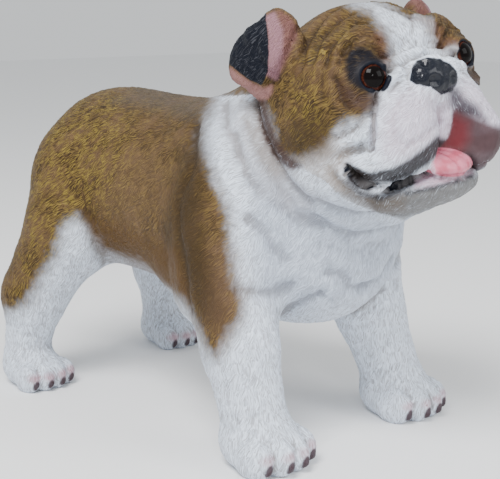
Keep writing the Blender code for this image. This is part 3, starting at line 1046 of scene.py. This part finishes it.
# Paint
class Nodes:
    """Adds shader nodes to one material, with a plain call for each kind that is used."""

    def __init__(self, name):
        self.material = bpy.data.materials.new(name)
        self.material.use_nodes = True
        self.tree = self.material.node_tree
        self.shader = self.tree.nodes["Principled BSDF"]

    def put(self, socket, value):
        if isinstance(value, bpy.types.NodeSocket):
            self.tree.links.new(value, socket)
        else:
            socket.default_value = value

    def maths(self, operation, *values):
        node = self.tree.nodes.new("ShaderNodeMath")
        node.operation = operation
        for socket, value in zip(node.inputs, values):
            self.put(socket, value)
        return node.outputs[0]

    def vector(self, operation, *values):
        node = self.tree.nodes.new("ShaderNodeVectorMath")
        node.operation = operation
        for socket, value in zip(node.inputs, values):
            self.put(socket, value)
        return node.outputs["Value" if operation in ("DOT_PRODUCT", "LENGTH") else "Vector"]

    def scaled(self, vector, amount):
        node = self.tree.nodes.new("ShaderNodeVectorMath")
        node.operation = "SCALE"
        self.put(node.inputs[0], vector)
        self.put(node.inputs["Scale"], amount)
        return node.outputs["Vector"]

    def joined(self, x, y, z):
        node = self.tree.nodes.new("ShaderNodeCombineXYZ")
        for socket, value in zip(node.inputs, (x, y, z)):
            self.put(socket, value)
        return node.outputs[0]

    def mixed(self, amount, first, second):
        """One colour blended into another."""
        node = self.tree.nodes.new("ShaderNodeMix")
        node.data_type = "RGBA"
        self.put(node.inputs[0], amount)
        self.put(node.inputs[6], first)
        self.put(node.inputs[7], second)
        return node.outputs[2]

    def between(self, amount, first, second):
        """One number blended into another."""
        node = self.tree.nodes.new("ShaderNodeMix")
        for index, value in ((0, amount), (2, first), (3, second)):
            self.put(node.inputs[index], value)
        return node.outputs[0]

    def ramp(self, value, low, high, first=0.0, last=1.0):
        """From first at low to last at high, smoothly, and level outside them."""
        node = self.tree.nodes.new("ShaderNodeMapRange")
        node.interpolation_type = "SMOOTHSTEP"
        for socket, number in zip(node.inputs, (value, low, high, first, last)):
            self.put(socket, number)
        return node.outputs[0]

    def noise(self, place, scale, detail=2.0, roughness=0.5):
        node = self.tree.nodes.new("ShaderNodeTexNoise")
        self.put(node.inputs["Vector"], place)
        for name, number in (("Scale", scale), ("Detail", detail), ("Roughness", roughness)):
            node.inputs[name].default_value = number
        return node.outputs[0]

    def attribute(self, name, output="Fac"):
        node = self.tree.nodes.new("ShaderNodeAttribute")
        node.attribute_name = name
        return node.outputs[output]

    def object_place(self):
        """The place on the statue, in millimetres."""
        node = self.tree.nodes.new("ShaderNodeTexCoord")
        return self.scaled(node.outputs["Object"], 1000.0)


# Two layers of locks: the size of a lock, the width of a strand, and where the layer starts
LOCK_LAYERS = ((8.4, 0.80, (0.0, 0.0, 0.0)), (6.8, 0.68, (3.7, 1.9, 5.3)))
STRAND_LENGTHS = 13
WHITE_HAIR = (0.76, 0.84, 0.96, 1)
WHITE_GROOVE = (0.28, 0.27, 0.29, 1)
BROWN_GROOVE = (0.024, 0.014, 0.006, 1)
BROWN_HAIR = (0.122, 0.073, 0.028, 1)
BROWN_WORN = (0.145, 0.085, 0.046, 1)
GOLD_STROKES = (0.20, 0.14, 0.028, 1)
BLACK_MARKS = (0.003, 0.0045, 0.010, 1)
MARKS_WORN = (0.5, 0.5, 0.55, 1)
TONGUE_DEEP = (0.50, 0.105, 0.155, 1)
TONGUE_PALE = (0.62, 0.19, 0.26, 1)
IRIS_DARK = (0.022, 0.005, 0.003, 1)
IRIS_BROWN = (0.070, 0.018, 0.009, 1)
PUPIL = (0.003, 0.002, 0.002, 1)
EYE_EDGE = (0.006, 0.004, 0.004, 1)
BUMP_DEPTH = 0.0007


def locks(nodes, place, lie, side, size, strand, shift):
    """One layer of locks: the strands' height, and how far from its lock's middle a place is."""
    cell = nodes.tree.nodes.new("ShaderNodeTexVoronoi")
    spot = nodes.vector("ADD", nodes.scaled(place, 1 / size), shift)
    nodes.put(cell.inputs["Vector"], spot)
    cell.inputs["Scale"].default_value = 1.0
    away = nodes.scaled(nodes.vector("SUBTRACT", spot, cell.outputs["Position"]), size)
    red = nodes.vector("DOT_PRODUCT", cell.outputs["Color"], (1.0, 0.0, 0.0))
    chance = nodes.maths("SUBTRACT", red, 0.5)
    along = nodes.vector("DOT_PRODUCT", away, lie)
    across = nodes.vector("DOT_PRODUCT", away, side)
    bend = nodes.maths("MULTIPLY", chance, 0.8)
    across = nodes.maths("ADD", across, nodes.maths("MULTIPLY", along, bend))
    drawn_out = nodes.joined(
        nodes.maths("DIVIDE", across, strand),
        nodes.maths("DIVIDE", along, strand * STRAND_LENGTHS),
        nodes.maths("MULTIPLY", chance, 90.0),
    )
    return nodes.noise(drawn_out, 1.0, 1.0), cell.outputs["Distance"]


def resin_paint():
    """Hand-painted resin: pressed strands of hair, a brushed brown coat on white, and dark marks."""
    nodes = Nodes("painted_resin")
    place = nodes.object_place()
    geometry = nodes.tree.nodes.new("ShaderNodeNewGeometry")
    lie = nodes.attribute("lie", "Vector")
    side = nodes.vector("NORMALIZE", nodes.vector("CROSS_PRODUCT", geometry.outputs["Normal"], lie))
    first, first_far = locks(nodes, place, lie, side, *LOCK_LAYERS[0])
    second, second_far = locks(nodes, place, lie, side, *LOCK_LAYERS[1])
    choice = nodes.ramp(nodes.maths("SUBTRACT", first_far, second_far), -0.12, 0.12)
    strands = nodes.between(choice, first, second)
    furry = nodes.maths("SUBTRACT", 1.0, nodes.attribute("bare"))
    hair = nodes.maths("MULTIPLY", nodes.ramp(strands, 0.32, 0.68), furry)
    cloudy = nodes.noise(place, 0.045, 3.0)
    patchy = nodes.noise(place, 0.13, 2.0)

    def edge(name, width, ragged):
        """A painted edge, broken up along the strands."""
        broken = nodes.maths("MULTIPLY", nodes.maths("SUBTRACT", strands, 0.5), ragged)
        wander = nodes.maths("MULTIPLY", nodes.maths("SUBTRACT", patchy, 0.5), ragged)
        moved = nodes.maths("ADD", nodes.attribute(name), nodes.maths("ADD", broken, wander))
        return nodes.ramp(moved, -width, width)

    def on_hair(low, high, most):
        """Up to so much on the raised strands, and none on bare skin."""
        return nodes.maths("MULTIPLY", nodes.ramp(strands, low, high, 0.0, most), furry)

    white = nodes.mixed(nodes.ramp(strands, 0.56, 0.34, 0.0, 0.72), WHITE_HAIR, WHITE_GROOVE)
    brown = nodes.mixed(nodes.ramp(strands, 0.30, 0.66), BROWN_GROOVE, BROWN_HAIR)
    brown = nodes.mixed(nodes.ramp(cloudy, 0.40, 0.66, 0.0, 0.45), brown, BROWN_WORN)
    golden = nodes.maths("MULTIPLY", nodes.ramp(strands, 0.44, 0.62), nodes.ramp(patchy, 0.26, 0.70))
    golden = nodes.maths("MULTIPLY", golden, nodes.maths("ADD", 0.35, nodes.attribute("gold")))
    brown = nodes.mixed(golden, brown, GOLD_STROKES)
    coat = nodes.mixed(edge("coat", 12.0, 13.0), white, brown)
    washed_and_shaded = nodes.mixed(nodes.attribute("cover"), coat, nodes.attribute("wash_and_shade", "Color"))
    speckled = nodes.mixed(on_hair(0.58, 0.72, 0.3), washed_and_shaded, coat)
    dark = nodes.mixed(on_hair(0.50, 0.75, 0.09), BLACK_MARKS, MARKS_WORN)
    colour = nodes.mixed(edge("marks", 0.7, 2.2), speckled, dark)
    flesh = nodes.mixed(nodes.ramp(patchy, 0.35, 0.65), TONGUE_DEEP, TONGUE_PALE)
    colour = nodes.mixed(nodes.ramp(nodes.attribute("tongue"), -0.5, 0.5), colour, flesh)
    nodes.put(nodes.shader.inputs["Base Color"], colour)
    gloss = nodes.attribute("gloss")
    nodes.put(nodes.shader.inputs["Roughness"], nodes.ramp(gloss, 0.0, 1.0, 0.48, 0.26))
    bump = nodes.tree.nodes.new("ShaderNodeBump")
    bump.inputs["Strength"].default_value = 0.8
    bump.inputs["Distance"].default_value = BUMP_DEPTH
    pebbled = nodes.maths("ADD", 0.12, nodes.maths("MULTIPLY", gloss, 0.9))
    grain = nodes.maths("MULTIPLY", nodes.noise(place, 0.7, 2.0), pebbled)
    nodes.put(bump.inputs["Height"], nodes.maths("ADD", hair, grain))
    nodes.put(nodes.shader.inputs["Normal"], bump.outputs[0])
    nodes.shader.inputs["Specular IOR Level"].default_value = 0.14
    nodes.put(nodes.shader.inputs["Coat Weight"], nodes.maths("MULTIPLY", gloss, 0.4))
    nodes.shader.inputs["Coat Roughness"].default_value = 0.12
    return nodes.material


def eye_paint():
    """A dark glass eye: a black pupil, a red-brown ring round it and near-black towards its edge."""
    nodes = Nodes("eye_glass")
    turned = nodes.attribute("from_gaze")
    streaks = nodes.noise(nodes.object_place(), 0.8, 3.0)
    iris = nodes.mixed(nodes.ramp(streaks, 0.35, 0.7), IRIS_DARK, IRIS_BROWN)
    ring = nodes.mixed(nodes.ramp(turned, 38.0, 45.0), PUPIL, iris)
    glass = nodes.mixed(nodes.ramp(turned, 50.0, 58.0), ring, EYE_EDGE)
    nodes.put(nodes.shader.inputs["Base Color"], glass)
    nodes.shader.inputs["Roughness"].default_value = 0.04
    nodes.shader.inputs["Specular IOR Level"].default_value = 0.08
    return nodes.material


# The pieces
def add_number(mesh, name, values):
    layer = mesh.attributes.new(name, "FLOAT", "POINT")
    layer.data.foreach_set("value", np.asarray(values, np.float32))


def add_vector(mesh, name, values):
    layer = mesh.attributes.new(name, "FLOAT_VECTOR", "POINT")
    layer.data.foreach_set("vector", values.astype(np.float32).ravel())


def add_colour(mesh, name, values):
    colours = np.concatenate((values, np.ones((len(values), 1))), axis=1)
    layer = mesh.color_attributes.new(name, "FLOAT_COLOR", "POINT")
    layer.data.foreach_set("color", colours.astype(np.float32).ravel())


def make_figure(paint):
    """The casting: modelled, carved, painted and put in the place and size of the solid."""
    mesh = modelled(figure() + finer_face() + claws())
    clay, creased = carve(mesh)
    points = points_of(mesh)
    out = normals_of(mesh)
    for name, values in painted(points, out, clay, creased, hollows(mesh)).items():
        if values.ndim == 1:
            add_number(mesh, name, values)
        else:
            add_colour(mesh, name, values)
    add_vector(mesh, "lie", hair_direction(points, out))
    low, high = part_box("bulldog")
    set_points(mesh, np.clip(in_metres(points), np.array(low), np.array(high)))
    mesh.shade_smooth()
    mesh.name = "statue"
    mesh.materials.append(paint)
    dog = new_object("statue", mesh)
    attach(dog, "root")
    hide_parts("bulldog")


def make_eye(node, side, paint):
    """A glass eye in the place and size of its CAD ball."""
    low, high = (np.array(corner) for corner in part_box(node))
    shape = bmesh.new()
    bmesh.ops.create_uvsphere(shape, u_segments=64, v_segments=40, radius=(high - low).min() / 2)
    mesh = bpy.data.meshes.new("glass_" + node)
    shape.to_mesh(mesh)
    shape.free()
    balls = points_of(mesh)
    gaze = HEAD_LIE @ np.array(EYE_LOOK[side])
    gaze /= np.linalg.norm(gaze)
    cosine = balls @ gaze / np.linalg.norm(balls, axis=1)
    add_number(mesh, "from_gaze", np.degrees(np.arccos(np.clip(cosine, -1, 1))))
    set_points(mesh, balls + (low + high) / 2)
    mesh.shade_smooth()
    mesh.materials.append(paint)
    eye = new_object("glass_" + node, mesh)
    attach(eye, "root")
    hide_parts(node)


def make_camera():
    lens = bpy.data.cameras.new("photo_camera")
    lens.sensor_width = SENSOR_WIDTH
    lens.lens = SENSOR_WIDTH * FOCAL_PIXELS / PHOTO_SIZE[0]
    camera = new_object("photo_camera", lens)
    camera.location = in_metres(CAMERA_AT)
    camera.rotation_mode = "QUATERNION"
    camera.rotation_quaternion = Vector(AHEAD).to_track_quat("-Z", "Y")
    bpy.context.scene.camera = camera


# Area lamps: a name, a place in metres, a width in metres and a power in watts
LAMPS = (
    ("key", (-1.3, -0.5, 2.0), 1.0, 72),
    ("fill", (0.5, -2.0, 1.3), 1.2, 20),
    ("spark", (-1.15, -1.55, 1.0), 0.12, 5),
)
LAMPS_AIM = (0, 0, 0.17)
FLOOR_HALF_WIDTH = 6
FLOOR_COLOUR = (0.9, 0.9, 0.9, 1)
ROOM_COLOUR = (0.95, 0.98, 1, 1)
ROOM_STRENGTH = 0.82


def make_studio():
    floor = bpy.data.meshes.new("floor")
    shape = bmesh.new()
    bmesh.ops.create_grid(shape, x_segments=1, y_segments=1, size=FLOOR_HALF_WIDTH)
    shape.to_mesh(floor)
    shape.free()
    ground = new_object("floor", floor)
    paint = bpy.data.materials.new("pale_floor")
    paint.use_nodes = True
    shader = paint.node_tree.nodes["Principled BSDF"]
    shader.inputs["Base Color"].default_value = FLOOR_COLOUR
    shader.inputs["Roughness"].default_value = 0.9
    floor.materials.append(paint)
    world = bpy.data.worlds.new("soft_room")
    world.use_nodes = True
    sky = world.node_tree.nodes["Background"]
    sky.inputs["Color"].default_value = ROOM_COLOUR
    sky.inputs["Strength"].default_value = ROOM_STRENGTH
    bpy.context.scene.world = world
    for name, at, size, power in LAMPS:
        light = bpy.data.lights.new(name, "AREA")
        light.size = size
        light.energy = power
        lamp = new_object(name, light)
        lamp.location = at
        lamp.rotation_mode = "QUATERNION"
        lamp.rotation_quaternion = (Vector(LAMPS_AIM) - Vector(at)).to_track_quat("-Z", "Y")


make_camera()
make_figure(resin_paint())
glass = eye_paint()
make_eye("eye_right", -1, glass)
make_eye("eye_left", 1, glass)
make_studio()
